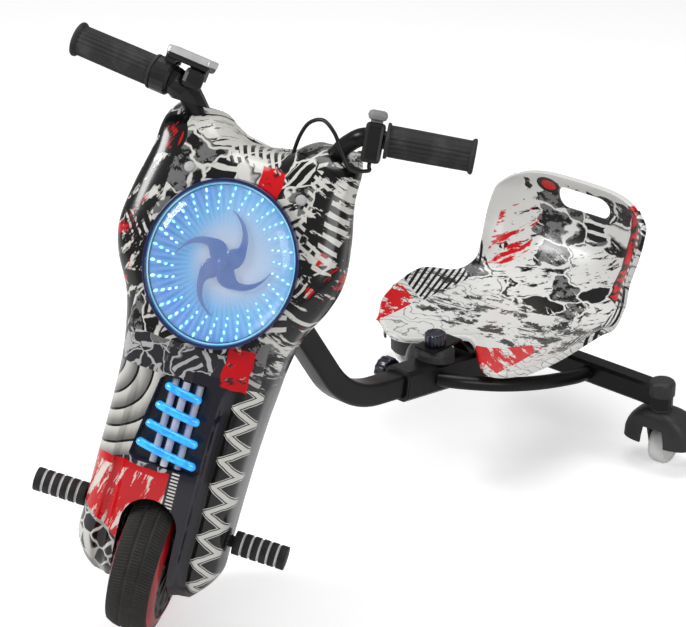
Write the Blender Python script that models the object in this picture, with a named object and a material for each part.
"""A child's electric drift tricycle, built as separate pieces at real size.

Forward is -Y, the rider's left is +X and up is +Z. The three wheels stand on Z = 0, and the
origin is on the floor in the middle of the tricycle. Lengths along it are counted from the
front wheel's centre. The steering is turned to the left, as it stands.
"""
import math

import bmesh
import bpy
from mathutils import Matrix, Vector

# The front wheel's centre lies this far ahead of the origin
MIDDLE = 0.3823

# Fits
GAP = 0.0003
RUNNING = 0.0025

# Steering: rake of the axis, and how far the bars are turned to the left
RAKE = math.radians(25.0)
STEER = math.radians(31.0)

# Front wheel, in which the hub motor sits
TYRE_RADIUS = 0.100
TYRE_WIDTH = 0.052
BEAD_RADIUS = 0.084
BEAD_WIDTH = 0.0464
RIM_FLANGE = 0.002
RIM_RADIUS = 0.0925
RIM_HALF = 0.0302
WHEEL_FACETS = 28
DRUM_RADIUS = 0.077
STATOR_RADIUS = 0.0705
STATOR_WIDTH = 0.026
AXLE_RADIUS = 0.006
NUT_WIDTH = 0.019
NUT_HEIGHT = 0.006

# Fork and headset, along the steering axis from the wheel centre
FORK_INNER = 0.0335
FORK_WALL = 0.008
FORK_DEPTH = 0.034
FORK_TIP = -0.020
CROWN_HEIGHT = 0.016
STEERER_RADIUS = 0.014
STEERER_WALL = 0.0025
HEAD_FOOT = 0.335
HEAD_TOP = 0.420
HEAD_WALL = 0.003
BEARING_WALL = 0.0035
BEARING_LIP = 0.005
HEAD_NUT_HEIGHT = 0.010

# Handlebar
BAR_RADIUS = 0.011
BAR_FACETS = 10
BAR_HEIGHT = 0.473
BAR_FORWARD = 0.026
BAR_FLAT = 0.040
GRIP_SPAN = 0.2415
GRIP_LENGTH = 0.103
GRIP_RADIUS = 0.0184
GRIP_FLANGE = 0.0208
GRIP_INNER_HEIGHT = 0.550
GRIP_OUTER_HEIGHT = 0.561
GRIP_INNER_FORWARD = 0.082
GRIP_OUTER_FORWARD = 0.072
CLAMP_HEIGHT = 0.032
CLAMP_WALL = 0.006

# Fairing: a front shell and a rear shell that meet on the plane of the steering axis
SHELL = 0.003
LAP = 0.003
FAIRING_FOOT = -0.038
FAIRING_TOP = 0.5265
VALLEY = 0.024
SECTION_POWER = 4.0
TUCK = 0.011
TUCK_FOOT = 0.220
TUCK_TOP = 0.330
TUCK_SHARE = 1.3
GROOVE_DEPTH = 0.007
GROOVE_INNER = 0.044
GROOVE_OUTER = 0.063
GROOVE_TOP = 0.235
BACK_DEPTH = 0.022
STEM_POCKET = 0.040
POCKET_FOOT = 0.443
WELL_HALF = 0.056
WELL_DEPTH = 0.026
WELL_FOOT = 0.322
WELL_TOP = 0.4385
WELL_WALL = 0.0025
BRACKET_HALF = 0.050
BRACKET_FOOT = 0.158

# Wheel arch and the liner that closes it inside the fairing
ARCH_CLEARANCE = 0.019
ARCH_HALF = 0.0425
MOUTH_HALF = 0.0345
MOUTH_TOP = 0.0765
LINER_WALL = 0.0025

# Cap screws beside the lamp
SCREW_RADIUS = 0.0065
SCREW_SINK = 0.0012
SCREW_SIDE = 0.067
SCREW_HEIGHT = 0.458

# Round lamp
LAMP_FACETS = 28
LAMP_HEIGHT = 0.3627
LAMP_FACE = 0.110
LAMP_OVAL = 0.916
BEZEL_RADIUS = 0.0982
BEZEL_WIDTH = 0.0045
BEZEL_DEPTH = 0.029
LENS_RISE = 0.021
LENS_WALL = 0.0025
MIRROR_WALL = 0.0025
LED_RING_WIDTH = 0.014
LED_RING_WALL = 0.004
LAMP_CUP_DEPTH = 0.026

# Strut ornament with its glowing half coils
STRUT_FOOT = 0.117
STRUT_TOP = 0.222
STRUT_FOOT_HALF = 0.043
STRUT_TOP_HALF = 0.031
STRUT_FLOOR = 0.078
STRUT_RIM = 0.097
STRUT_WALL = 0.002
ROD_RADIUS = 0.0045
ROD_PITCH = 0.015
COIL_RADIUS = 0.005
COIL_COUNT = 4
COIL_PITCH = 0.0245
COIL_LOWEST = 0.134
COIL_SLOPE = math.radians(9.0)
COIL_LONGEST = 0.0355
COIL_SHORTENING = 0.0052
COIL_BOW = 0.007

# Power pack and controller inside the fairing
PACK_HALF = 0.070
PACK_DEPTH = 0.022
PACK_FOOT = 0.300
PACK_HEIGHT = 0.130
CONTROLLER_HALF = 0.042
CONTROLLER_DEPTH = 0.026
CONTROLLER_FOOT = 0.160
CONTROLLER_HEIGHT = 0.085

# Controls on the bar
HOUSING_WIDTH = 0.022
HOUSING_RADIUS = 0.0208
POD_START = 0.008
POD_LENGTH = 0.054
POD_DEPTH = 0.034
POD_HEIGHT = 0.013
POD_ARM = 0.012
TRIGGER_SIZE = (0.024, 0.016, 0.024)
TRIGGER_TRAVEL = 0.002
SWITCH_SIZE = (0.022, 0.036, 0.046)
SWITCH_RISE = -0.005
SWITCH_INSET = 0.002
SWITCH_POCKET = 0.006
BUTTON_HEIGHT = 0.012
BUTTON_TRAVEL = 0.002
CABLE_RADIUS = 0.0024

# Boot between the throttle and the horn, counted along the bar's own line
BOOT_FIRST = 5
BOOT_LAST = 12
BOOT_WIDE = 0.0185
BOOT_NARROW = 0.0165
BOOT_DEEP = 0.0136

# Foot pegs
PEG_HEIGHT = 0.042
PEG_FORWARD = 0.014
PEG_START = 0.0935
PEG_END = 0.1585
PEG_RADIUS = 0.0145
PEG_STUD = 0.007
PEG_RINGS = 5
RING_DEPTH = 0.0014

# Boom: a square tube from the head tube down and back into the rear frame's socket
BOOM_SIDE = 0.032
BOOM_WALL = 0.002
BOOM_CORNER = 0.005
BOOM_JOIN = 0.3816
BOOM_FALL = math.radians(57.0)
BOOM_BEND = 0.140
BOOM_INSERTION = 0.150

# Rear frame
SOCKET_Y = 0.448
SOCKET_Z = 0.154
SOCKET_SIDE = 0.042
SOCKET_WALL = 0.0025
BUSH_FLANGE = 0.003
CROSSBAR_Y = 0.731
CROSSBAR_Z = 0.109
CROSSBAR_DEPTH = 0.028
CROSSBAR_HEIGHT = 0.032
CROSSBAR_WALL = 0.0025
TRACK = 0.464
BRACE_RADIUS = 0.010
BRACE_START = 0.068
BRACE_SPREAD = 0.116

# Casters: the swivel axis stands at the end of the crossbar
PIVOT_RADIUS = 0.0162
PIVOT_HEIGHT = 0.034
STEM_RADIUS = 0.0095
CAP_WALL = 0.0016
CAP_SKIRT = 0.0155
CAP_RISE = 0.0065
CASTER_RADIUS = 0.030
CASTER_WIDTH = 0.024
CASTER_TRAIL = 0.018
CASTER_HEADING = (math.radians(6.0), math.radians(-34.0))
CASTER_AXLE = 0.004
HOOD_TOP = 0.089
HOOD_FOOT = 0.040
HOOD_HALF = 0.052
HOOD_DEPTH = 0.034
HOOD_WALL = 0.003
CHEEK_WALL = 0.004

# Seat and its mount
SEAT_WALL = 0.0045
PLATE_WALL = 0.003
PLATE_HEIGHT = 0.1544
PLATE_HALF = 0.055
PLATE_START = 0.598
PLATE_END = 0.770
STRAP_HALF = 0.016
STRAP_START = 0.503
DAMPER_Y = 0.526
DAMPER_RADIUS = 0.0265
DAMPER_HEIGHT = 0.0185
RISER_START = 0.655
RISER_END = 0.705
SEAT_KNOB_RADIUS = 0.015
SEAT_KNOB_HEIGHT = 0.017
SLOT_HALF = 0.046
SLOT_HEIGHT = 0.034
SLOT_CENTRE = 0.291

# Clamp knob on the socket
KNOB_RADIUS = 0.0185
KNOB_THICKNESS = 0.018
BOSS_RADIUS = 0.010
BOSS_LENGTH = 0.0145
KNOB_BACKSET = 0.030
KNOB_LOBES = 12
KNOB_SCREW = 0.004

MATERIALS = {
    "black_steel": ((0.012, 0.012, 0.013, 1), 0.42, 0.6),
    "bright_steel": ((0.55, 0.55, 0.56, 1), 0.3, 1.0),
    "printed_plastic": ((0.62, 0.61, 0.58, 1), 0.22, 0.0),
    "black_plastic": ((0.014, 0.014, 0.016, 1), 0.4, 0.0),
    "grip_rubber": ((0.02, 0.02, 0.02, 1), 0.75, 0.0),
    "tyre_rubber": ((0.035, 0.034, 0.033, 1), 0.85, 0.0),
    "red_metal": ((0.55, 0.02, 0.03, 1), 0.35, 0.5),
    "motor_metal": ((0.09, 0.09, 0.095, 1), 0.45, 0.9),
    "copper": ((0.6, 0.25, 0.12, 1), 0.4, 0.9),
    "navy_plastic": ((0.008, 0.012, 0.06, 1), 0.3, 0.0),
    "clear_plastic": ((0.45, 0.68, 0.95, 1), 0.08, 0.0),
    "mirror": ((0.5, 0.65, 0.9, 1), 0.1, 1.0),
    "blue_light": ((0.03, 0.3, 0.95, 1), 0.3, 0.0),
    "grey_plastic": ((0.42, 0.43, 0.44, 1), 0.35, 0.0),
    "dark_grey_plastic": ((0.09, 0.09, 0.09, 1), 0.5, 0.0),
    "white_wheel": ((0.75, 0.74, 0.7, 1), 0.4, 0.0),
    "pack_film": ((0.04, 0.1, 0.4, 1), 0.4, 0.0),
}


def material(name):
    found = bpy.data.materials.get(name)
    if found:
        return found
    colour, roughness, metallic = MATERIALS[name]
    made = bpy.data.materials.new(name)
    made.use_nodes = True
    made.diffuse_color = colour
    shader = made.node_tree.nodes["Principled BSDF"]
    shader.inputs["Base Color"].default_value = colour
    shader.inputs["Roughness"].default_value = roughness
    shader.inputs["Metallic"].default_value = metallic
    return made


def empty(name, matrix, parent=None):
    made = bpy.data.objects.new(name, None)
    bpy.context.scene.collection.objects.link(made)
    made.parent = parent
    made.matrix_local = matrix
    return made


def keep(name, bm, finish, parent, place=None, sharp=35):
    """Makes an object of a bmesh, with its faces turned out."""
    bmesh.ops.recalc_face_normals(bm, faces=bm.faces)
    mesh = bpy.data.meshes.new(name)
    bm.to_mesh(mesh)
    bm.free()
    mesh.shade_smooth()
    mesh.set_sharp_from_angle(angle=math.radians(sharp))
    made = bpy.data.objects.new(name, mesh)
    bpy.context.scene.collection.objects.link(made)
    made.parent = parent or FLOOR
    made.matrix_local = place or Matrix()
    if finish:
        mesh.materials.append(material(finish))
    else:
        made.hide_render = True
        made.display_type = "WIRE"
    return made


def boolean(target, other, operation="DIFFERENCE"):
    step = target.modifiers.new(other.name, "BOOLEAN")
    step.operation = operation
    step.object = other
    step.solver = "EXACT"
    other.hide_render = True
    other.display_type = "WIRE"
    return target


def box_mesh(low, high, bevel=0.0, segments=1):
    """A box between two corners."""
    low = Vector(low)
    high = Vector(high)
    bm = bmesh.new()
    size = high - low
    place = Matrix.Translation((low + high) / 2) @ Matrix.Diagonal((*size, 1))
    bmesh.ops.create_cube(bm, size=1, matrix=place)
    if bevel:
        bmesh.ops.bevel(
            bm, geom=bm.edges[:], offset=bevel, segments=segments, profile=0.5,
            affect="EDGES", clamp_overlap=True, material=-1,
        )
    return bm


def turned_mesh(profile, segments, axis="Z"):
    """Spins a profile of (radius, height) once round an axis. A closed profile makes a ring."""
    bm = bmesh.new()
    points = [bm.verts.new((radius, 0, height)) for radius, height in profile]
    pairs = list(zip(points, points[1:]))
    if profile[0][0] > 1e-6:
        pairs.append((points[-1], points[0]))
    edges = [bm.edges.new(pair) for pair in pairs]
    bmesh.ops.spin(
        bm, geom=points + edges, cent=(0, 0, 0), axis=(0, 0, 1), dvec=(0, 0, 0),
        angle=math.tau, steps=segments, use_merge=True,
    )
    bmesh.ops.remove_doubles(bm, verts=bm.verts, dist=1e-6)
    if axis == "X":
        bmesh.ops.rotate(bm, verts=bm.verts, matrix=Matrix.Rotation(math.pi / 2, 3, "Y"))
    if axis == "Y":
        bmesh.ops.rotate(bm, verts=bm.verts, matrix=Matrix.Rotation(-math.pi / 2, 3, "X"))
    return bm


def clear_of(radius, segments):
    """The radius of a faceted bore whose flats stay clear of a round piece."""
    return (radius + GAP) / math.cos(math.pi / segments)


def rod_profile(radius, start, end, chamfer=0.0):
    if not chamfer:
        return [(0, start), (radius, start), (radius, end), (0, end)]
    return [
        (0, start), (radius - chamfer, start), (radius, start + chamfer),
        (radius, end - chamfer), (radius - chamfer, end), (0, end),
    ]


def ring_profile(inner, outer, start, end, chamfer=0.0):
    if not chamfer:
        return [(outer, start), (outer, end), (inner, end), (inner, start)]
    return [
        (outer - chamfer, start), (outer, start + chamfer), (outer, end - chamfer),
        (outer - chamfer, end), (inner, end), (inner, start),
    ]


def outline_mesh(outline, low, high, axis="Y"):
    """Extrudes a flat outline from low to high along Y (outline in X, Z) or X (outline in Y, Z)."""
    bm = bmesh.new()
    if axis == "Y":
        points = [bm.verts.new((x, low, z)) for x, z in outline]
        step = Vector((0, high - low, 0))
    elif axis == "X":
        points = [bm.verts.new((low, y, z)) for y, z in outline]
        step = Vector((high - low, 0, 0))
    else:
        points = [bm.verts.new((x, y, low)) for x, y in outline]
        step = Vector((0, 0, high - low))
    face = bm.faces.new(points)
    made = bmesh.ops.extrude_face_region(bm, geom=[face])
    moved = [item for item in made["geom"] if isinstance(item, bmesh.types.BMVert)]
    bmesh.ops.translate(bm, verts=moved, vec=step)
    return bm


def loft_mesh(sections, closed=True, caps=True):
    """Skins a row of sections that have the same number of points."""
    bm = bmesh.new()
    loops = [[bm.verts.new(point) for point in section] for section in sections]
    count = len(loops[0])
    last = count if closed else count - 1
    for one, two in zip(loops, loops[1:]):
        for i in range(last):
            j = (i + 1) % count
            bm.faces.new((one[i], one[j], two[j], two[i]))
    if caps and closed:
        bm.faces.new(loops[0])
        bm.faces.new(list(reversed(loops[-1])))
    return bm


def arc(centre, radius, start, end, steps):
    """Points along an arc, angles in degrees."""
    turns = [math.radians(start + (end - start) * i / steps) for i in range(steps + 1)]
    return [(centre[0] + radius * math.cos(t), centre[1] + radius * math.sin(t)) for t in turns]


def rounded_rectangle(half_x, half_y, radius, steps=2):
    points = []
    for quarter, (sx, sy) in enumerate(((1, 1), (-1, 1), (-1, -1), (1, -1))):
        centre = (sx * (half_x - radius), sy * (half_y - radius))
        points += arc(centre, radius, 90 * quarter, 90 * quarter + 90, steps)
    return points


def smooth_step(value, low, high):
    t = min(1.0, max(0.0, (value - low) / (high - low)))
    return t * t * (3 - 2 * t)


def along(table, place):
    """Reads a smooth curve through a short table of (place, value) rows."""
    if place <= table[0][0]:
        return table[0][1]
    if place >= table[-1][0]:
        return table[-1][1]
    i = max(k for k in range(len(table) - 1) if table[k][0] <= place)

    def slope(k):
        left = max(k - 1, 0)
        right = min(k + 1, len(table) - 1)
        return (table[right][1] - table[left][1]) / (table[right][0] - table[left][0])

    (x0, y0), (x1, y1) = table[i], table[i + 1]
    span = x1 - x0
    t = (place - x0) / span
    a = 2 * t**3 - 3 * t**2 + 1
    b = t**3 - 2 * t**2 + t
    c = 3 * t**2 - 2 * t**3
    d = t**3 - t**2
    return a * y0 + b * span * slope(i) + c * y1 + d * span * slope(i + 1)


def spread(low, high, count):
    return [low + (high - low) * i / (count - 1) for i in range(count)]


def smooth_route(route, per_span):
    """Points of a smooth curve through a route's own points."""
    points = []
    for i in range(len(route) - 1):
        p0 = Vector(route[max(i - 1, 0)])
        p1 = Vector(route[i])
        p2 = Vector(route[i + 1])
        p3 = Vector(route[min(i + 2, len(route) - 1)])
        for k in range(per_span):
            t = k / per_span
            points.append(
                0.5 * (2 * p1 + (p2 - p0) * t + (2 * p0 - 5 * p1 + 4 * p2 - p3) * t**2
                       + (3 * p1 - p0 - 3 * p2 + p3) * t**3)
            )
    points.append(Vector(route[-1]))
    return points


def tube_object(name, points, radius, finish, parent, resolution):
    """A round tube with closed ends, along a line of points."""
    curve = bpy.data.curves.new(name, "CURVE")
    curve.dimensions = "3D"
    curve.bevel_depth = radius
    curve.bevel_resolution = resolution
    curve.use_fill_caps = True
    spline = curve.splines.new("POLY")
    spline.points.add(len(points) - 1)
    for knot, point in zip(spline.points, points):
        knot.co = (*point, 1)
    made = bpy.data.objects.new(name, curve)
    bpy.context.scene.collection.objects.link(made)
    made.parent = parent
    curve.materials.append(material(finish))
    return made


def front_point(side, forward, height):
    """A point in the steering frame: to the rider's left, forward of the axis, up the axis."""
    return Vector((side, -forward, height))


def axis_matrix(origin, direction, up=Vector((0, 0, 1))):
    """A frame whose Z runs along a direction."""
    z = Vector(direction).normalized()
    x = up.cross(z)
    if x.length < 1e-6:
        x = Vector((1, 0, 0))
    x.normalize()
    y = z.cross(x)
    turn = Matrix((x, y, z)).transposed().to_4x4()
    return Matrix.Translation(origin) @ turn


def swept_mesh(points, radius, sides):
    """A round bar with flat ends along a line of points."""
    sections = []
    for i, point in enumerate(points):
        before = points[max(i - 1, 0)]
        after = points[min(i + 1, len(points) - 1)]
        frame = axis_matrix(point, after - before)
        turns = [math.tau * k / sides for k in range(sides)]
        sections.append([frame @ Vector((radius * math.cos(t), radius * math.sin(t), 0)) for t in turns])
    return loft_mesh(sections)


def tyre_profile():
    """Half the tyre's section as (radius, side), from the bead out to the crown."""
    half = TYRE_WIDTH / 2
    bead = BEAD_WIDTH / 2
    return [
        (BEAD_RADIUS + GAP, bead), (RIM_RADIUS + GAP, bead), (RIM_RADIUS + 2 * GAP, half),
        (TYRE_RADIUS - 0.0055, half - 0.0008), (TYRE_RADIUS - 0.002, half - 0.008), (TYRE_RADIUS, 0.008),
    ]


# How the turned steering leans the wheel, and the height at which the tyre just stands on the floor
LEAN = math.asin(math.sin(STEER) * math.sin(RAKE))
WHEEL_HEIGHT = max(r * math.cos(LEAN) + s * math.sin(LEAN) for r, s in tyre_profile())
STEER_AXIS = Vector((0, math.sin(RAKE), math.cos(RAKE)))
WHEEL_CENTRE = Vector((0, 0, WHEEL_HEIGHT))


def head_matrix(turn):
    """The frame on the steering axis at the wheel centre, with the bars turned to the left."""
    straight = Matrix.Rotation(-RAKE, 4, "X")
    return Matrix.Translation(WHEEL_CENTRE) @ straight @ Matrix.Rotation(turn, 4, "Z")


for thing in list(bpy.data.objects):
    bpy.data.objects.remove(thing)

FLOOR = empty("floor_frame", Matrix.Translation((0, -MIDDLE, 0)))
HEAD = empty("head_axis", head_matrix(0.0), FLOOR)
STEERING = empty("steering_axis", head_matrix(STEER), FLOOR)
WHEEL = empty("front_wheel_axis", Matrix(), STEERING)


# Front wheel
def front_tyre():
    half = tyre_profile()
    section = half + [(radius, -side) for radius, side in reversed(half)]
    keep("front_tyre", turned_mesh(section, WHEEL_FACETS, "X"), "tyre_rubber", WHEEL, sharp=50)


def hub_shell():
    bead = BEAD_WIDTH / 2 + GAP
    half = [(BEAD_RADIUS, bead), (RIM_RADIUS, bead), (RIM_RADIUS, bead + RIM_FLANGE), (DRUM_RADIUS, RIM_HALF)]
    section = half + [(radius, -side) for radius, side in reversed(half)]
    keep("hub_rim", turned_mesh(section, WHEEL_FACETS, "X"), "red_metal", WHEEL)


def hub_cover(name, side):
    """A side plate of the motor, with raised ribs between its hub and its screw flange."""
    rim = DRUM_RADIUS * math.cos(math.pi / WHEEL_FACETS) - GAP
    bore = AXLE_RADIUS + GAP
    profile = [
        (rim, 0.0165), (rim, 0.0288), (rim - 0.012, 0.0288), (rim - 0.015, 0.0265), (0.019, 0.0265), (0.0165, 0.031),
        (bore, 0.031), (bore, 0.0165),
    ]
    place = Matrix() if side > 0 else Matrix.Rotation(math.pi, 4, "Z")
    cover = keep(name, turned_mesh(profile, 18, "X"), "motor_metal", WHEEL, place, sharp=25)
    ribs = 6
    for i in range(ribs):
        turn = Matrix.Rotation(math.tau * i / ribs, 4, "X")
        bm = box_mesh((0.0200, -0.0022, 0.018), (0.0282, 0.0022, rim - 0.013))
        rib = keep(f"{name}_rib_{i}", bm, None, WHEEL, place @ turn)
        boolean(cover, rib, "UNION")


def stator():
    """The wound core: twelve poles round a hub, fixed to the axle."""
    poles = 9
    outline = []
    for i in range(poles):
        middle = 360 / poles * i
        outline += arc((0, 0), STATOR_RADIUS, middle - 15, middle + 15, 2)
        outline += arc((0, 0), STATOR_RADIUS - 0.016, middle + 18, middle + 22, 1)
    half = STATOR_WIDTH / 2
    core = keep("motor_stator", outline_mesh(outline, -half, half, "X"), "copper", STEERING)
    bore = keep("stator_bore", turned_mesh(rod_profile(AXLE_RADIUS + GAP, -0.03, 0.03), 16, "X"), None, STEERING)
    boolean(core, bore)


def front_axle():
    end = FORK_INNER + FORK_WALL + NUT_HEIGHT + 0.004
    profile = rod_profile(AXLE_RADIUS, -end, end, 0.001)
    keep("front_axle", turned_mesh(profile, 16, "X"), "bright_steel", STEERING)


def axle_nut(name, side):
    """A flanged hexagon nut outside the dropout."""
    start = FORK_INNER + FORK_WALL + GAP
    bm = bmesh.new()
    turn = Matrix.Rotation(math.pi / 2, 4, "Y")
    place = Matrix.Translation((start + NUT_HEIGHT / 2, 0, 0)) @ turn
    bmesh.ops.create_cone(
        bm, cap_ends=True, segments=6, radius1=NUT_WIDTH / math.sqrt(3), radius2=NUT_WIDTH / math.sqrt(3) * 0.94,
        depth=NUT_HEIGHT, matrix=place,
    )
    flip = Matrix() if side > 0 else Matrix.Rotation(math.pi, 4, "Z")
    nut = keep(name, bm, "bright_steel", STEERING, flip)
    profile = rod_profile(AXLE_RADIUS + GAP, start - 0.01, start + 0.02)
    boolean(nut, keep(name + "_bore", turned_mesh(profile, 16, "X"), None, STEERING, flip))


# Fork
def fork():
    """Two flat-oval legs, a crown over the tyre and the steerer, welded into one."""
    outline = rounded_rectangle(FORK_WALL / 2, FORK_DEPTH / 2, FORK_WALL / 3, 2)
    crown_foot = arch_radius() + LINER_WALL + GAP
    crown_top = crown_foot + CROWN_HEIGHT
    centre = FORK_INNER + FORK_WALL / 2
    half = FORK_INNER + FORK_WALL + 0.001
    body = keep(
        "fork",
        box_mesh((-half, -FORK_DEPTH / 2 - 0.001, crown_foot), (half, FORK_DEPTH / 2 + 0.001, crown_top), 0.003, 1),
        "black_steel", STEERING,
    )
    for side in (1, -1):
        leg_outline = [(side * centre + x, y) for x, y in outline]
        leg = keep(f"fork_leg_{side}", outline_mesh(leg_outline, FORK_TIP, crown_top - 0.004, "Z"), None, STEERING)
        boolean(body, leg, "UNION")
    top = BAR_HEIGHT + CLAMP_HEIGHT / 2
    steerer = turned_mesh(rod_profile(STEERER_RADIUS, crown_foot + 0.004, top), 16)
    boolean(body, keep("steerer", steerer, None, STEERING), "UNION")
    hollow = turned_mesh(rod_profile(STEERER_RADIUS - STEERER_WALL, crown_foot - 0.01, top + 0.01), 16)
    boolean(body, keep("steerer_hollow", hollow, None, STEERING))
    hole = turned_mesh(rod_profile(AXLE_RADIUS + GAP, -0.07, 0.07), 16, "X")
    boolean(body, keep("dropout_hole", hole, None, STEERING))


def headset():
    """Bearings pressed into the head tube, and the nut that holds the fork up."""
    inner = clear_of(STEERER_RADIUS, 16)
    outer = STEERER_RADIUS + BEARING_WALL
    lip = outer + HEAD_WALL
    low = [
        (inner, HEAD_FOOT - BEARING_LIP), (lip, HEAD_FOOT - BEARING_LIP), (lip, HEAD_FOOT - GAP),
        (outer - GAP, HEAD_FOOT - GAP), (outer - GAP, HEAD_FOOT + 0.010), (inner, HEAD_FOOT + 0.010),
    ]
    keep("headset_bearing_lower", turned_mesh(low, 16), "bright_steel", HEAD)
    middle = HEAD_FOOT + HEAD_TOP
    high = [(radius, middle - height) for radius, height in low]
    keep("headset_bearing_upper", turned_mesh(high, 16), "bright_steel", HEAD)
    start = HEAD_TOP + BEARING_LIP + GAP
    bm = bmesh.new()
    place = Matrix.Translation((0, 0, start + HEAD_NUT_HEIGHT / 2))
    bmesh.ops.create_cone(
        bm, cap_ends=True, segments=8, radius1=lip + 0.001, radius2=lip, depth=HEAD_NUT_HEIGHT, matrix=place,
    )
    nut = keep("headset_nut", bm, "bright_steel", STEERING)
    bore = turned_mesh(rod_profile(inner, start - 0.01, start + 0.03), 16)
    boolean(nut, keep("headset_nut_bore", bore, None, STEERING))


# Handlebar and what it carries
def bar_points(side):
    """The bar's centreline from the middle out to the grip's end, straight through the controls."""
    inner, outer = grip_line(side)
    outward = (outer - inner).normalized()
    route = [
        front_point(0, BAR_FORWARD, BAR_HEIGHT),
        front_point(side * BAR_FLAT, BAR_FORWARD, BAR_HEIGHT),
        front_point(side * 0.066, BAR_FORWARD + 0.013, BAR_HEIGHT + 0.020),
        front_point(side * 0.083, BAR_FORWARD + 0.030, BAR_HEIGHT + 0.041),
        front_point(side * 0.096, BAR_FORWARD + 0.045, BAR_HEIGHT + 0.060),
        inner - outward * (HOUSING_WIDTH + 0.0025),
        inner,
    ]
    return smooth_route(route, 2) + [outer - outward * 0.004]


def grip_line(side):
    """The inner and the outer end of a grip's axis."""
    inner = front_point(side * (GRIP_SPAN - GRIP_LENGTH), GRIP_INNER_FORWARD, GRIP_INNER_HEIGHT)
    aim = front_point(side * GRIP_SPAN, GRIP_OUTER_FORWARD, GRIP_OUTER_HEIGHT)
    return inner, inner + (aim - inner).normalized() * GRIP_LENGTH


def bar_frame(side, back=0.0):
    """A frame on the grip's axis, its Z outward, at a distance inboard of the grip's inner end."""
    inner, outer = grip_line(side)
    direction = (outer - inner).normalized()
    return axis_matrix(inner - direction * back, direction)


def handlebar():
    points = list(reversed(bar_points(-1))) + bar_points(1)[1:]
    keep("handlebar", swept_mesh(points, BAR_RADIUS, BAR_FACETS), "black_steel", STEERING, sharp=50)


def bar_bore():
    """A cutter that follows the bar with the fit's gap all round."""
    found = bpy.data.objects.get("bar_bore")
    if found:
        return found
    points = list(reversed(bar_points(-1))) + bar_points(1)[1:]
    return keep("bar_bore", swept_mesh(points, clear_of(BAR_RADIUS, BAR_FACETS), BAR_FACETS), None, STEERING)


def handlebar_clamp():
    """A stem that closes round the steerer's top and round the bar in front of it."""
    height = CLAMP_HEIGHT / 2
    reach = BAR_RADIUS + CLAMP_WALL
    ring = STEERER_RADIUS + CLAMP_WALL
    body = keep(
        "handlebar_clamp",
        turned_mesh(rod_profile(ring, BAR_HEIGHT - height, BAR_HEIGHT + height), 14),
        "black_steel", STEERING,
    )
    block = box_mesh(
        (-BAR_FLAT / 2, -BAR_FORWARD - reach, BAR_HEIGHT - reach),
        (BAR_FLAT / 2, 0, BAR_HEIGHT + reach), 0.003, 1,
    )
    boolean(body, keep("clamp_block", block, None, STEERING), "UNION")
    bore = turned_mesh(rod_profile(clear_of(STEERER_RADIUS, 16), BAR_HEIGHT - 0.05, BAR_HEIGHT + 0.05), 16)
    boolean(body, keep("clamp_bore", bore, None, STEERING))
    boolean(body, bar_bore())


def grip_mesh(start):
    """A ribbed sleeve with a flange at each end. Ribs run along it, with a plain band each side."""
    ribs = 12
    stations = [
        (start, GRIP_FLANGE, 0), (start + 0.003, GRIP_FLANGE, 0), (start + 0.0045, GRIP_RADIUS - 0.0015, 0),
        (start + 0.008, GRIP_RADIUS, 1), (GRIP_LENGTH - 0.0075, GRIP_RADIUS - 0.0006, 1),
        (GRIP_LENGTH - 0.0035, GRIP_FLANGE, 0), (GRIP_LENGTH, GRIP_FLANGE - 0.0010, 0),
    ]
    sections = []
    for height, radius, rib in stations:
        section = []
        for i in range(2 * ribs):
            turn = math.tau * i / (2 * ribs)
            depth = 0.0011 * rib if i % 2 else 0.0
            section.append(Vector(((radius - depth) * math.cos(turn), (radius - depth) * math.sin(turn), height)))
        sections.append(section)
    return loft_mesh(sections)


def grip(name, side, start, finish, parent, place):
    sleeve = keep(name, grip_mesh(start), finish, parent, place, sharp=50)
    profile = rod_profile(BAR_RADIUS + GAP, -0.05, GRIP_LENGTH - 0.0035)
    boolean(sleeve, keep(name + "_bore", turned_mesh(profile, 16), None, parent, place))


def throttle_housing():
    """The fixed half of the twist throttle, round the bar inboard of the twist grip."""
    frame = bar_frame(-1)
    profile = [
        (0, -HOUSING_WIDTH), (HOUSING_RADIUS - 0.003, -HOUSING_WIDTH), (HOUSING_RADIUS, -HOUSING_WIDTH + 0.003),
        (HOUSING_RADIUS, -0.0015 - GAP), (HOUSING_RADIUS - 0.001, -GAP), (0, -GAP),
    ]
    housing = keep("throttle_housing", turned_mesh(profile, 18), "black_plastic", STEERING, frame)
    boolean(housing, bar_bore())


def display_pod():
    """A flat box with the charge display, on the throttle housing, in line with the grip."""
    frame = bar_frame(-1)
    half = POD_DEPTH / 2
    foot = HOUSING_RADIUS + 0.0012
    end = -POD_START - POD_LENGTH
    bm = box_mesh((-half, foot, end), (half, foot + POD_HEIGHT, -POD_START), 0.004, 2)
    pod = keep("display_pod", bm, "grey_plastic", STEERING, frame)
    saddle = box_mesh((0.005 - half, foot - 0.006, 0.001 - HOUSING_WIDTH), (half - 0.005, foot + 0.004, -POD_START))
    boolean(pod, keep("pod_foot", saddle, None, STEERING, frame), "UNION")
    arm = box_mesh((0.004 - half, foot - POD_ARM, end + 0.006), (-0.001, foot + 0.004, end + 0.026))
    boolean(pod, keep("pod_arm", arm, None, STEERING, frame), "UNION")
    bore = turned_mesh(rod_profile(HOUSING_RADIUS + GAP, -HOUSING_WIDTH - 0.01, 0.02), 24)
    boolean(pod, keep("pod_seat", bore, None, STEERING, frame))


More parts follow.
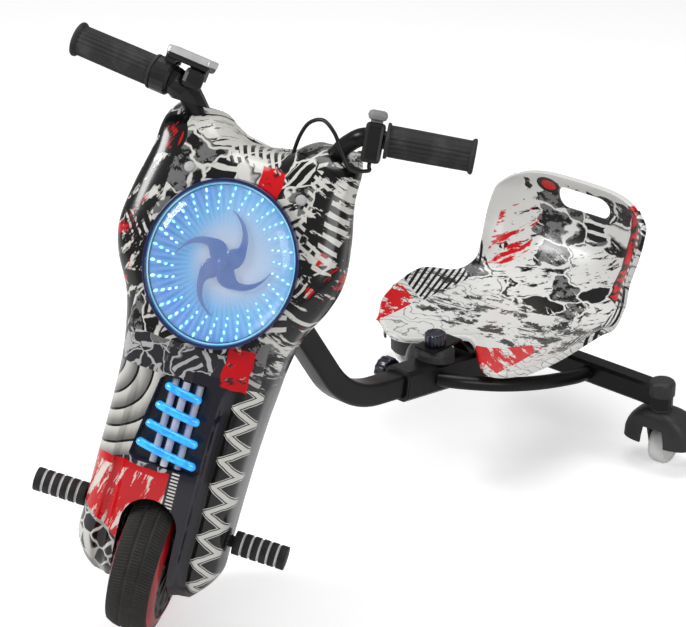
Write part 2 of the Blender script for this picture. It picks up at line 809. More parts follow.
def horn_trigger():
    """A rounded trigger that slides under the display, pulled towards the rider."""
    width, depth, height = TRIGGER_SIZE
    start = TRIGGER_TRAVEL + GAP - 0.001
    top = HOUSING_RADIUS + 0.0012 - GAP
    place = bar_frame(-1) @ Matrix.Translation((start, top - height / 2, width / 2 - POD_START - POD_LENGTH + 0.002))
    local = box_mesh((0, -height / 2, -width / 2), (depth, height / 2, width / 2), 0.0065, 2)
    keep("horn_trigger", local, "black_plastic", STEERING, place)


def throttle_boot():
    """A soft black sleeve from the throttle housing down the bend of the bar to the horn's top."""
    points = bar_points(-1)[BOOT_FIRST:BOOT_LAST]
    sections = []
    for i, point in enumerate(points):
        before = points[max(i - 1, 0)]
        after = points[min(i + 1, len(points) - 1)]
        frame = axis_matrix(point, after - before)
        wide = BOOT_WIDE + (BOOT_NARROW - BOOT_WIDE) * i / (len(points) - 1)
        turns = [math.tau * k / 10 for k in range(10)]
        sections.append([frame @ Vector((BOOT_DEEP * math.cos(t), wide * math.sin(t), 0)) for t in turns])
    boot = keep("throttle_boot", loft_mesh(sections), "grip_rubber", STEERING)
    housing_end = box_mesh((-0.05, -0.05, -HOUSING_WIDTH - GAP), (0.05, 0.05, 0.05))
    boolean(boot, keep("boot_end", housing_end, None, STEERING, bar_frame(-1)))
    horn = box_mesh((-0.2, -0.2, 0.4), (0, 0.1, FAIRING_TOP + GAP))
    boolean(boot, keep("boot_foot", horn, None, STEERING))
    end = -POD_START - POD_LENGTH
    foot = HOUSING_RADIUS + 0.0012 - 2 * GAP
    arm = box_mesh((-0.03, foot - POD_ARM, end - 0.02), (0.001, 0.05, end + 0.0265))
    boolean(boot, keep("boot_arm_cut", arm, None, STEERING, bar_frame(-1)))
    pull = box_mesh((-0.0015, foot - TRIGGER_SIZE[2], end - 0.02), (0.05, 0.05, end + 0.0265))
    boolean(boot, keep("boot_trigger_cut", pull, None, STEERING, bar_frame(-1)))
    boolean(boot, bar_bore())


def switch_frame():
    """The grip's frame moved to the middle of the left control box."""
    return bar_frame(1) @ Matrix.Translation((0, SWITCH_RISE, -SWITCH_INSET - SWITCH_SIZE[0] / 2 - GAP))


def switch_housing():
    """The left control box: a tall body clamped round the bar."""
    width, depth, height = SWITCH_SIZE
    half = Vector((depth / 2, height / 2, width / 2))
    body = keep("switch_housing", box_mesh(-half, half, 0.004, 2), "black_plastic", STEERING, switch_frame())
    boolean(body, bar_bore())
    pocket = box_mesh((0.006 - half.x, half.y - SWITCH_POCKET, 0.004 - half.z), (half.x - 0.006, half.y + 0.01, half.z - 0.004))
    boolean(body, keep("switch_pocket", pocket, None, STEERING, switch_frame()))


def power_button():
    """The pale cap on the switch box's top, pressed down, with a stem in the box's pocket."""
    width, depth, height = SWITCH_SIZE
    low = BUTTON_TRAVEL + GAP
    place = switch_frame() @ Matrix.Translation((0, height / 2, 0))
    bm = box_mesh((-depth / 2, low, -width / 2), (depth / 2, low + BUTTON_HEIGHT, width / 2), 0.005, 2)
    cap = keep("power_button", bm, "grey_plastic", STEERING, place)
    half_depth = depth / 2 - 0.006 - GAP
    half_width = width / 2 - 0.004 - GAP
    stem = box_mesh((-half_depth, low - SWITCH_POCKET, -half_width), (half_depth, low + BUTTON_HEIGHT / 2, half_width))
    boolean(cap, keep("button_stem", stem, None, STEERING, place), "UNION")


def cable_points():
    """The lead's own line: out of the switch box's foot, up in a loop and down into the fairing."""
    frame = switch_frame()
    leave = frame @ Vector((-0.004, -SWITCH_SIZE[2] / 2 - GAP, 0))
    down = frame.to_3x3() @ Vector((0, -1, 0))
    route = [
        leave + down * 0.004,
        leave + down * 0.009,
        front_point(0.111, 0.100, 0.508),
        front_point(0.097, 0.104, 0.524),
        front_point(0.083, 0.104, 0.542),
        front_point(0.066, 0.098, 0.552),
        front_point(0.050, 0.086, 0.545),
        front_point(0.041, 0.070, 0.528),
        front_point(0.037, 0.056, 0.506),
        front_point(0.036, 0.046, 0.484),
    ]
    return [leave] + smooth_route(route, 2)


def control_cable():
    tube_object("control_cable", cable_points(), CABLE_RADIUS, "black_plastic", STEERING, 2)


# Fairing
HALF_WIDTH = [
    (-0.038, 0.062), (-0.020, 0.077), (0.004, 0.0885), (0.03, 0.0890), (0.11, 0.0885), (0.17, 0.0895), (0.21, 0.0915),
    (0.25, 0.0955), (0.30, 0.1065), (0.34, 0.1265), (0.375, 0.1355), (0.42, 0.1315), (0.47, 0.1215), (0.505, 0.1195),
    (0.5265, 0.1120),
]
FRONT_DEPTH = [
    (-0.038, 0.034), (-0.022, 0.056), (0.012, 0.076), (0.07, 0.090), (0.12, 0.100), (0.27, 0.100),
    (0.36, 0.106), (0.43, 0.101), (0.475, 0.093), (0.502, 0.083), (0.517, 0.066), (0.524, 0.044), (0.5265, 0.012),
]
BACK_TAPER = [(-0.038, 0.35), (-0.022, 0.8), (0.012, 1.0), (0.49, 1.0), (0.512, 0.75), (0.5265, 0.30)]
# How far forward the shell is widest, as a share of its depth
CHEEK = [(0.22, 0.045), (0.33, 0.45), (0.42, 0.48), (0.49, 0.62)]
BACK_STEPS = [0, 0.32, 0.66, 0.90, 1.0]
WIDTH_STEPS = [0, 0.26, 0.48, 0.53, 0.62, 0.70, 0.84, 0.94, 0.985, 1.0, TUCK_SHARE]


def arch_radius():
    return TYRE_RADIUS + ARCH_CLEARANCE


def sink(side, height):
    """How far the top edge dips between the horns."""
    middle = 1 - smooth_step(abs(side), 0.018, 0.062)
    return VALLEY * middle * smooth_step(height, 0.40, FAIRING_TOP)


def groove(side, height):
    """The set-back band between the nose over the wheel and each leg's panel."""
    reach = abs(side)
    inner = smooth_step(reach, GROOVE_INNER - 0.002, GROOVE_INNER + 0.004)
    outer = 1 - smooth_step(reach, GROOVE_OUTER - 0.007, GROOVE_OUTER)
    return GROOVE_DEPTH * inner * outer * (1 - smooth_step(height, GROOVE_TOP - 0.045, GROOVE_TOP))


def tuck(height):
    """How far the shell draws in from its widest line to the parting."""
    return TUCK * smooth_step(height, TUCK_FOOT, TUCK_TOP)


def bulge(share):
    """The fullness of the shells' section, from 1 in the middle to 0 at the edge."""
    return (1 - min(1.0, abs(share)) ** SECTION_POWER) ** (1 / SECTION_POWER)


def front_shell_point(share, height):
    """A point of the front shell. A share of 1 is its widest line, and beyond that it turns back."""
    width = along(HALF_WIDTH, height)
    depth = along(FRONT_DEPTH, height)
    widest = depth * along(CHEEK, height)
    if abs(share) > 1:
        turned = (abs(share) - 1) / (TUCK_SHARE - 1)
        side = math.copysign(width - tuck(height) * turned ** 1.6, share)
        forward = widest * (1 - turned) - LAP * turned
    else:
        side = width * share
        forward = widest + (depth - widest) * bulge(share) - groove(side, height)
    return front_point(side, forward, height - sink(side, height))


def back_shell_point(share, height):
    """A point of the rear shell, deeper behind the handlebar clamp."""
    side = (along(HALF_WIDTH, height) - tuck(height)) * share
    pocket = smooth_step(height, POCKET_FOOT, POCKET_FOOT + 0.015)
    depth = BACK_DEPTH + (STEM_POCKET - BACK_DEPTH) * pocket * (1 - smooth_step(abs(side), 0.03, 0.09))
    back = depth * along(BACK_TAPER, height) * bulge(share) - LAP * (1 - bulge(share))
    return front_point(side, -back, height - sink(side, height))


def sheet_mesh(surface, shares, heights):
    bm = bmesh.new()
    rows = [[bm.verts.new(surface(share, height)) for share in shares] for height in heights]
    for low, high in zip(rows, rows[1:]):
        for i in range(len(shares) - 1):
            bm.faces.new((low[i], low[i + 1], high[i + 1], high[i]))
    return bm


def sheet_object(name, bm, thickness, finish, parent):
    """A moulded sheet: one surface given its wall on the inner side."""
    mesh = bpy.data.meshes.new(name)
    bm.to_mesh(mesh)
    bm.free()
    mesh.shade_smooth()
    made = bpy.data.objects.new(name, mesh)
    bpy.context.scene.collection.objects.link(made)
    made.parent = parent
    mesh.materials.append(material(finish))
    wall = made.modifiers.new("Wall", "SOLIDIFY")
    wall.thickness = thickness
    wall.offset = -1
    return made


def fairing_heights():
    return (
        [FAIRING_FOOT, -0.024, -0.006, 0.03, 0.10] + spread(GROOVE_TOP - 0.045, GROOVE_TOP, 3)
        + [0.285, 0.312, 0.34, 0.375, 0.42, 0.465, 0.498, 0.514, 0.5235, FAIRING_TOP]
    )


def shell_place(side, height):
    """A frame on the front shell's face, its Z along the outward normal."""
    share = side / along(HALF_WIDTH, height)
    step = 0.01
    point = front_shell_point(share, height)
    across = front_shell_point(share + step, height) - front_shell_point(share - step, height)
    upward = front_shell_point(share, height + step) - front_shell_point(share, height - step)
    return axis_matrix(point, across.cross(upward))


def wheel_arch():
    """The room for the tyre: a round-topped tunnel across the wheel."""
    radius = arch_radius()
    outline = [(radius, -0.15)] + arc((0, 0), radius, 0, 180, 14) + [(-radius, -0.15)]
    return keep("wheel_arch", outline_mesh(outline, -ARCH_HALF, ARCH_HALF, "X"), None, STEERING)


def arch_mouth():
    """The round-topped opening over the tyre in the front shell."""
    middle = MOUTH_TOP - MOUTH_HALF
    outline = [(MOUTH_HALF, -0.15)] + arc((0, middle), MOUTH_HALF, 0, 180, 12) + [(-MOUTH_HALF, -0.15)]
    return keep("arch_mouth", outline_mesh(outline, -0.15, 0), None, STEERING)


def bar_cutter(side):
    """The room round the bar where it leaves the horn."""
    name = "bar_hole_left" if side > 0 else "bar_hole_right"
    return keep(name, swept_mesh(bar_points(side)[4:], BAR_RADIUS + RUNNING, BAR_FACETS), None, STEERING)


def peg_cutter(side):
    """The round hole that a foot peg's stud passes through."""
    stud = turned_mesh(rod_profile(PEG_STUD + RUNNING / 2, FORK_INNER + 0.002, PEG_START), 16, "X")
    turn = Matrix() if side > 0 else Matrix.Rotation(math.pi, 4, "Z")
    place = Matrix.Translation(front_point(0, PEG_FORWARD, PEG_HEIGHT)) @ turn
    return keep(f"peg_hole_{side}", stud, None, STEERING, place)


def fairing():
    shares = [-step for step in reversed(WIDTH_STEPS[1:])] + WIDTH_STEPS
    heights = fairing_heights()
    front_sheet = sheet_mesh(front_shell_point, shares, heights)
    front = sheet_object("front_fairing", front_sheet, SHELL, "printed_plastic", STEERING)
    back_shares = [-step for step in reversed(BACK_STEPS[1:])] + BACK_STEPS
    back_heights = [height for height in heights if not 0.1 < height < 0.24]
    back_sheet = sheet_mesh(back_shell_point, list(reversed(back_shares)), back_heights)
    back = sheet_object("rear_fairing", back_sheet, SHELL, "black_plastic", STEERING)
    behind = box_mesh((-0.2, -GAP / 2, -0.1), (0.2, 0.1, 0.6))
    boolean(front, keep("front_parting", behind, None, STEERING))
    before = box_mesh((-0.2, -0.1, -0.1), (0.2, GAP / 2, 0.6))
    boolean(back, keep("back_parting", before, None, STEERING))
    well(back)
    bar_holes = [bar_cutter(1), bar_cutter(-1)]
    for cutter in [arch_mouth(), *bar_holes, peg_cutter(1), peg_cutter(-1)]:
        boolean(front, cutter)
    for cutter in [wheel_arch(), *bar_holes]:
        boolean(back, cutter)
    hole = rod_profile(clear_of(BEZEL_RADIUS, LAMP_FACETS), 0.06, 0.16)
    boolean(front, lamp_piece("lamp_hole", hole, None, 0))
    grommet = swept_mesh(cable_points()[9:], CABLE_RADIUS + RUNNING / 2, 10)
    boolean(front, keep("cable_hole", grommet, None, STEERING))
    window = outline_mesh(strut_outline(GAP), -0.15, -0.05)
    boolean(front, keep("strut_window", window, None, STEERING))
    for side in (1, -1):
        seat_cut = turned_mesh(rod_profile(clear_of(SCREW_RADIUS, 14), -SCREW_SINK, 0.01), 14)
        boolean(front, keep(f"screw_seat_{side}", seat_cut, None, STEERING, shell_place(side * SCREW_SIDE, SCREW_HEIGHT)))


def well(back):
    """The open well in the rear shell where the head tube stands, and the bracket below it."""
    wall = WELL_WALL
    outer = box_mesh(
        (-WELL_HALF - wall, -WELL_DEPTH - wall, WELL_FOOT - wall), (WELL_HALF + wall, BACK_DEPTH - 0.001, WELL_TOP + wall)
    )
    boolean(back, keep("well_walls", outer, None, STEERING), "UNION")
    bracket = box_mesh(
        (-BRACKET_HALF, -WELL_DEPTH - wall, BRACKET_FOOT), (BRACKET_HALF, -WELL_DEPTH, WELL_FOOT + 0.002)
    )
    boolean(back, keep("bracket", bracket, None, STEERING), "UNION")
    inside = box_mesh((-WELL_HALF, -WELL_DEPTH, WELL_FOOT), (WELL_HALF, 0.1, WELL_TOP), 0.003, 1)
    boolean(back, keep("well_inside", inside, None, STEERING))
    hole = turned_mesh(rod_profile(STEERER_RADIUS + RUNNING, WELL_FOOT - 0.02, WELL_TOP + 0.012), 20)
    boolean(back, keep("steerer_hole", hole, None, STEERING))


def arch_liner():
    """Black walls beside the wheel and a roof over it, fitted inside the two shells."""
    inset = SHELL + GAP
    rim = ARCH_HALF + LINER_WALL

    def inside_front(height):
        return -front_shell_point(rim / along(HALF_WIDTH, height), height).y - GROOVE_DEPTH - inset

    roof = arch_radius() + LINER_WALL
    heights = spread(-0.020, roof, 6)
    outline = [(-inside_front(height), height) for height in heights]
    for height in reversed(heights):
        outline.append((back_shell_point(rim / along(HALF_WIDTH, height), height).y - inset - 0.002, height))
    body = keep("arch_liner", outline_mesh(outline, -rim, rim, "X"), "black_plastic", STEERING)
    round_roof = arc((0, 0), roof, 0, 180, 14)
    limit = outline_mesh([(roof, -0.15)] + round_roof + [(-roof, -0.15)], -rim - 0.01, rim + 0.01, "X")
    boolean(body, keep("liner_limit", limit, None, STEERING), "INTERSECT")
    boolean(body, bpy.data.objects["wheel_arch"])
    for side in (1, -1):
        low = min(side * (FORK_INNER - 0.002), side * (ARCH_HALF - 0.0005))
        high = max(side * (FORK_INNER - 0.002), side * (ARCH_HALF - 0.0005))
        slot = box_mesh((low, -FORK_DEPTH / 2 - 0.002, 0.09), (high, FORK_DEPTH / 2 + 0.002, roof + 0.01))
        boolean(body, keep(f"leg_slot_{side}", slot, None, STEERING))
        boolean(body, bpy.data.objects[f"peg_hole_{side}"])
    axle_way = turned_mesh(rod_profile(NUT_WIDTH * 0.75, -0.06, 0.06), 20, "X")
    boolean(body, keep("axle_way", axle_way, None, STEERING))


# Lamp
def lamp_place(forward):
    """A frame on the lamp's axis, its Z forward."""
    return Matrix.Translation(front_point(0, forward, LAMP_HEIGHT)) @ Matrix.Rotation(math.pi / 2, 4, "X")


def lamp_piece(name, profile, finish, forward):
    """A turned piece of the lamp, drawn in a little at its sides."""
    bm = turned_mesh(profile, LAMP_FACETS)
    bmesh.ops.scale(bm, verts=bm.verts, vec=(LAMP_OVAL, 1, 1))
    return keep(name, bm, finish, STEERING, lamp_place(forward))


def lamp():
    inner = BEZEL_RADIUS - BEZEL_WIDTH
    back = LAMP_FACE - BEZEL_DEPTH
    bezel = [
        (inner, 0), (BEZEL_RADIUS, 0), (BEZEL_RADIUS, BEZEL_DEPTH - 0.002), (BEZEL_RADIUS - 0.0015, BEZEL_DEPTH),
        (inner + 0.001, BEZEL_DEPTH), (inner, BEZEL_DEPTH - 0.004),
    ]
    lamp_piece("lamp_bezel", bezel, "navy_plastic", back)
    wall = MIRROR_WALL
    edge = inner - GAP
    cup = [
        (0, wall), (edge, wall), (edge, -LAMP_CUP_DEPTH), (edge - wall, -LAMP_CUP_DEPTH), (edge - wall, 0), (0, 0),
    ]
    lamp_piece("lamp_reflector", cup, "mirror", back)
    ring_back = wall + GAP
    ring = ring_profile(inner - LED_RING_WIDTH, edge, 0, LED_RING_WALL)
    lamp_piece("led_ring", ring, "blue_light", back + ring_back)
    lens_back = ring_back + LED_RING_WALL + GAP
    steps = 5
    rise = BEZEL_DEPTH - 0.007 - lens_back
    dome = [(edge, 0), (edge, rise)]
    for i in range(1, steps + 1):
        turn = math.pi / 2 * i / steps
        dome.append((edge * math.cos(turn), rise + LENS_RISE * math.sin(turn)))
    dome[-1] = (0, dome[-1][1])
    under = [(max(radius - LENS_WALL, 0), height - LENS_WALL) for radius, height in dome[3::2]]
    under[-1] = (0, under[-1][1])
    under = [(edge - LENS_WALL, 0), (edge - LENS_WALL, rise - LENS_WALL / 2)] + under
    lamp_piece("lamp_lens", list(reversed(dome)) + under, "clear_plastic", back + lens_back)


# Strut ornament
def strut_outline(grow):
    foot = STRUT_FOOT_HALF + grow
    top = STRUT_TOP_HALF + grow
    low = STRUT_FOOT - grow
    high = STRUT_TOP + grow
    cut = 0.006
    return [
        (-foot + cut, low), (foot - cut, low), (foot, low + cut), (top, high - cut),
        (top - cut, high), (-top + cut, high), (-top, high - cut), (-foot, low + cut),
    ]


def strut_insert():
    """A tray let into the fairing, with three upright rods; the middle one carries the coils."""
    tray = keep("strut_insert", outline_mesh(strut_outline(-GAP), -STRUT_RIM, -STRUT_FLOOR), "grey_plastic", STEERING)
    inside = outline_mesh(strut_outline(-GAP - STRUT_WALL), -STRUT_RIM - 0.01, -STRUT_FLOOR - STRUT_WALL)
    boolean(tray, keep("strut_pocket", inside, None, STEERING))
    for i in (-1, 0, 1):
        rod = turned_mesh(rod_profile(ROD_RADIUS, STRUT_FOOT + 0.001, STRUT_TOP - 0.001), 8)
        forward = rod_forward() if i else rod_forward() + COIL_BOW
        place = Matrix.Translation(front_point(i * ROD_PITCH, forward, 0))
        boolean(tray, keep(f"strut_rod_{i}", rod, None, STEERING, place), "UNION")


def rod_forward():
    return STRUT_FLOOR + STRUT_WALL + ROD_RADIUS + 0.004


def coil_reach(number):
    return COIL_LONGEST - COIL_SHORTENING * number


def coil_bow(side, reach):
    """How far a coil stands ahead of its own ends."""
    return COIL_BOW * math.sqrt(1 - (side / reach) ** 2)


def coil_lights():
    """Half turns of a glowing coil that rest on the rods, shorter towards the top."""
    seat = rod_forward() + ROD_RADIUS + GAP + COIL_RADIUS
    for i in range(COIL_COUNT):
        reach = coil_reach(i)
        height = COIL_LOWEST + COIL_PITCH * i
        points = []
        for k in range(-4, 5):
            share = k / 4
            side = reach * math.sin(share * math.pi / 2)
            forward = seat + coil_bow(side, reach + COIL_RADIUS / 100)
            points.append(front_point(side, forward, height - side * math.tan(COIL_SLOPE)))
        tube_object(f"coil_light_{i + 1}", points, COIL_RADIUS, "blue_light", STEERING, 1)


# Inside the fairing
def battery_pack():
    start = WELL_DEPTH + WELL_WALL + GAP
    low = (-PACK_HALF, -start - PACK_DEPTH, PACK_FOOT)
    high = (PACK_HALF, -start, PACK_FOOT + PACK_HEIGHT)
    keep("battery_pack", box_mesh(low, high, 0.003, 1), "pack_film", STEERING)


def motor_controller():
    """An aluminium box on the bracket below the well."""
    start = WELL_DEPTH + WELL_WALL + GAP
    low = (-CONTROLLER_HALF, -start - CONTROLLER_DEPTH, CONTROLLER_FOOT)
    high = (CONTROLLER_HALF, -start, CONTROLLER_FOOT + CONTROLLER_HEIGHT)
    keep("motor_controller", box_mesh(low, high, 0.002, 1), "motor_metal", STEERING)


def fairing_screw(name, side):
    """A domed cap screw that holds the front shell to the rear one beside the lamp."""
    base = GAP - SCREW_SINK
    head = [(0, base), (SCREW_RADIUS, base), (SCREW_RADIUS, base + 0.0018), (SCREW_RADIUS * 0.8, base + 0.0036), (0, base + 0.0045)]
    keep(name, turned_mesh(head, 14), "grey_plastic", STEERING, shell_place(side * SCREW_SIDE, SCREW_HEIGHT))


def foot_peg(name, side):
    """A ringed barrel on a stud that screws into the fork leg."""
    root = FORK_INNER + FORK_WALL + GAP
    profile = [(0, root), (PEG_STUD, root), (PEG_STUD, PEG_START), (PEG_RADIUS, PEG_START)]
    pitch = (PEG_END - PEG_START) / (PEG_RINGS + 1)
    for i in range(1, PEG_RINGS + 1):
        middle = PEG_START + pitch * i
        profile += [
            (PEG_RADIUS, middle - RING_DEPTH), (PEG_RADIUS - RING_DEPTH, middle), (PEG_RADIUS, middle + RING_DEPTH),
        ]
    profile += [(PEG_RADIUS, PEG_END - 0.0015), (PEG_RADIUS - 0.0015, PEG_END), (0, PEG_END)]
    turn = Matrix() if side > 0 else Matrix.Rotation(math.pi, 4, "Z")
    place = Matrix.Translation(front_point(0, PEG_FORWARD, PEG_HEIGHT)) @ turn
    keep(name, turned_mesh(profile, 12, "X"), "black_plastic", STEERING, place)


# Boom and rear frame
TUBE_SLOPE = math.atan2(SOCKET_Z - CROSSBAR_Z, CROSSBAR_Y - SOCKET_Y)
TUBE_AXIS = Vector((0, math.cos(TUBE_SLOPE), -math.sin(TUBE_SLOPE)))
TUBE = empty(
    "tube_axis",
    Matrix.Translation((0, SOCKET_Y, SOCKET_Z)) @ Matrix.Rotation(-TUBE_SLOPE, 4, "X"),
    FLOOR,
)


def boom_path():
    """The boom's centreline as (y, z): down from the head tube, round the bend, into the socket."""
    join = WHEEL_CENTRE + STEER_AXIS * BOOM_JOIN
    down = Vector((math.cos(BOOM_FALL), -math.sin(BOOM_FALL)))
    level = Vector((math.cos(TUBE_SLOPE), -math.sin(TUBE_SLOPE)))
    start = Vector((join.y, join.z))
    mouth = Vector((SOCKET_Y, SOCKET_Z))
    cross = down.x * level.y - down.y * level.x
    gap = mouth - start
    reach = (gap.x * level.y - gap.y * level.x) / cross
    corner = start + down * reach
    turn = BOOM_FALL - TUBE_SLOPE
    tangent = BOOM_BEND * math.tan(turn / 2)
    bend_start = corner - down * tangent
    side = Vector((math.sin(BOOM_FALL), math.cos(BOOM_FALL)))
    centre = bend_start + side * BOOM_BEND
    path = [start + down * 0.006]
    steps = 6
    for i in range(steps + 1):
        angle = BOOM_FALL - turn * i / steps
        path.append(centre - Vector((math.sin(angle), math.cos(angle))) * BOOM_BEND)
    path.append(mouth + level * BOOM_INSERTION)
    return path


def boom():
    """The bent square tube with the head tube welded across its top."""
    path = boom_path()
    outline = rounded_rectangle(BOOM_SIDE / 2, BOOM_SIDE / 2, BOOM_CORNER, 1)
    sections = []
    for i, point in enumerate(path):
        before = path[max(i - 1, 0)]
        after = path[min(i + 1, len(path) - 1)]
        one = (point - before).normalized() if i else (after - point).normalized()
        two = (after - point).normalized() if i < len(path) - 1 else one
        heading = (one + two).normalized()
        up = Vector((-heading.y, heading.x))
        sections.append([Vector((x, point.x + up.x * z, point.y + up.y * z)) for x, z in outline])
    tube = keep("boom", loft_mesh(sections, caps=False), "black_steel", None)
    wall = tube.modifiers.new("Wall", "SOLIDIFY")
    wall.thickness = BOOM_WALL
    wall.offset = -1
    outer = STEERER_RADIUS + BEARING_WALL + HEAD_WALL
    head = turned_mesh(rod_profile(outer, HEAD_FOOT, HEAD_TOP), 16)
    boolean(tube, keep("head_tube", head, None, HEAD), "UNION")
    bore = turned_mesh(rod_profile(clear_of(STEERER_RADIUS + BEARING_WALL - GAP, 16), HEAD_FOOT - 0.02, HEAD_TOP + 0.02), 16)
    boolean(tube, keep("head_bore", bore, None, HEAD))


def square_tube(name, side, wall, start, end, corner, finish, parent):
    """A square tube along Y, open at both ends."""
    sections = []
    for y in (start, end):
        sections.append([Vector((x, y, z)) for x, z in rounded_rectangle(side / 2, side / 2, corner, 1)])
    tube = keep(name, loft_mesh(sections, caps=False), finish, parent)
    step = tube.modifiers.new("Wall", "SOLIDIFY")
    step.thickness = wall
    step.offset = -1
    return tube


def tube_end():
    """How far the centre tube runs from its mouth to the crossbar's front face."""
    face = CROSSBAR_Y - CROSSBAR_DEPTH / 2 - GAP
    drop = SOCKET_SIDE / 2 * math.sin(TUBE_SLOPE)
    return (face - SOCKET_Y - drop) / math.cos(TUBE_SLOPE)


def centre_tube():
    tube = square_tube(
        "centre_tube", SOCKET_SIDE, SOCKET_WALL, 0, tube_end(), 0.005, "black_steel", TUBE
    )
    place = Matrix.Translation((0, KNOB_BACKSET, 0))
    face = -SOCKET_SIDE / 2
    boss = turned_mesh(rod_profile(BOSS_RADIUS, face - BOSS_LENGTH + GAP, face + SOCKET_WALL / 2), 16, "X")
    boolean(tube, keep("screw_boss", boss, None, TUBE, place), "UNION")
    hole = turned_mesh(rod_profile(KNOB_SCREW + GAP, -0.05, 0), 16, "X")
    boolean(tube, keep("screw_hole", hole, None, TUBE, place))


def socket_bush():
    """A plastic sleeve that lines the socket's mouth, with a flange outside it."""
    outer = SOCKET_SIDE - 2 * SOCKET_WALL - 2 * GAP
    inner = BOOM_SIDE + 2 * GAP
    body = square_tube("socket_bush", outer, (outer - inner) / 2, -BUSH_FLANGE, 0.110, 0.004, "black_plastic", TUBE)
    rim = square_tube(
        "bush_flange", SOCKET_SIDE - 0.001, (SOCKET_SIDE - 0.001 - inner) / 2, -BUSH_FLANGE, -GAP, 0.004, None, TUBE
    )
    boolean(body, rim, "UNION")
    hole = turned_mesh(rod_profile(KNOB_SCREW + GAP, -0.04, 0), 16, "X")
    boolean(body, keep("bush_hole", hole, None, TUBE, Matrix.Translation((0, KNOB_BACKSET, 0))))


def crossbar():
    """The rear beam with an upright pivot tube welded to each end."""
    end = TRACK / 2
    outline = rounded_rectangle(CROSSBAR_DEPTH / 2, CROSSBAR_HEIGHT / 2, 0.004, 1)
    outline = [(CROSSBAR_Y + y, CROSSBAR_Z + z) for y, z in outline]
    inset = PIVOT_RADIUS / 3
    beam = keep("crossbar", outline_mesh(outline, inset - end, end - inset, "X"), "black_steel", None)
    for side in (1, -1):
        place = Matrix.Translation((side * end, CROSSBAR_Y, CROSSBAR_Z))
        post = turned_mesh(rod_profile(PIVOT_RADIUS, -PIVOT_HEIGHT / 2, PIVOT_HEIGHT / 2), 16)
        boolean(beam, keep(f"pivot_post_{side}", post, None, None, place), "UNION")
    wall = CROSSBAR_WALL
    hollow = box_mesh(
        (-end, CROSSBAR_Y - CROSSBAR_DEPTH / 2 + wall, CROSSBAR_Z - CROSSBAR_HEIGHT / 2 + wall),
        (end, CROSSBAR_Y + CROSSBAR_DEPTH / 2 - wall, CROSSBAR_Z + CROSSBAR_HEIGHT / 2 - wall),
    )
    boolean(beam, keep("crossbar_hollow", hollow, None, None))
    for side in (1, -1):
        place = Matrix.Translation((side * end, CROSSBAR_Y, CROSSBAR_Z))
        bore = turned_mesh(rod_profile(clear_of(STEM_RADIUS, 12), -0.05, 0.05), 12)
        boolean(beam, keep(f"pivot_bore_{side}", bore, None, None, place))


def brace(name, side):
    """A round tube that curves from the centre tube's side out to the crossbar.

    The line runs a little past both ends, and cuts trim it to the two faces.
    """
    half = SOCKET_SIDE / 2
    start = Vector((0, SOCKET_Y, SOCKET_Z)) + TUBE_AXIS * BRACE_START
    face = CROSSBAR_Y - CROSSBAR_DEPTH / 2 - GAP
    reach = face - start.y
    drop = start.z - CROSSBAR_Z
    out = BRACE_SPREAD - half
    route = [
        Vector((side * (half + GAP), start.y, start.z)),
        Vector((side * (half + 0.24 * out), start.y + 0.08 * reach, start.z - 0.10 * drop)),
        Vector((side * (half + 0.60 * out), start.y + 0.30 * reach, start.z - 0.35 * drop)),
        Vector((side * (half + 0.84 * out), start.y + 0.56 * reach, start.z - 0.62 * drop)),
        Vector((side * (half + 0.97 * out), start.y + 0.86 * reach, start.z - 0.92 * drop)),
        Vector((side * BRACE_SPREAD, face, CROSSBAR_Z)),
    ]
    points = smooth_route(route, 2)
    points[0] = points[0] - (points[1] - points[0]).normalized() * BRACE_RADIUS
    points.append(points[-1] + Vector((0, 0.004, 0)))
    made = keep(name, swept_mesh(points, BRACE_RADIUS, 8), "black_steel", None, sharp=50)
    clear = box_mesh((-half - GAP, -0.1, -half - 0.05), (half + GAP, 0.3, half + 0.05))
    boolean(made, keep(name + "_side_cut", clear, None, TUBE))
    beyond = box_mesh((-0.3, face, 0), (0.3, face + 0.1, 0.3))
    boolean(made, keep(name + "_end_cut", beyond, None, None))


# Casters
def caster_frames(side):
    """The swivel axis on the floor, turned to the wheel's heading, and the wheel's own axis."""
    heading = CASTER_HEADING[0] if side > 0 else CASTER_HEADING[1]
    name = "left" if side > 0 else "right"
    place = Matrix.Translation((side * TRACK / 2, CROSSBAR_Y, 0)) @ Matrix.Rotation(heading, 4, "Z")
    swivel = empty(f"caster_{name}_axis", place, FLOOR)
    wheel = empty(f"caster_{name}_wheel_axis", Matrix.Translation((0, CASTER_TRAIL, CASTER_RADIUS)), swivel)
    return name, swivel, wheel


def hood_ring(half_x, half_y, height, shift):
    points = []
    count = 12
    for i in range(count):
        turn = math.tau * i / count
        x = half_x * math.copysign(abs(math.cos(turn)) ** 0.6, math.cos(turn))
        y = half_y * math.copysign(abs(math.sin(turn)) ** 0.6, math.sin(turn))
        points.append(Vector((x, y + shift, height)))
    return points


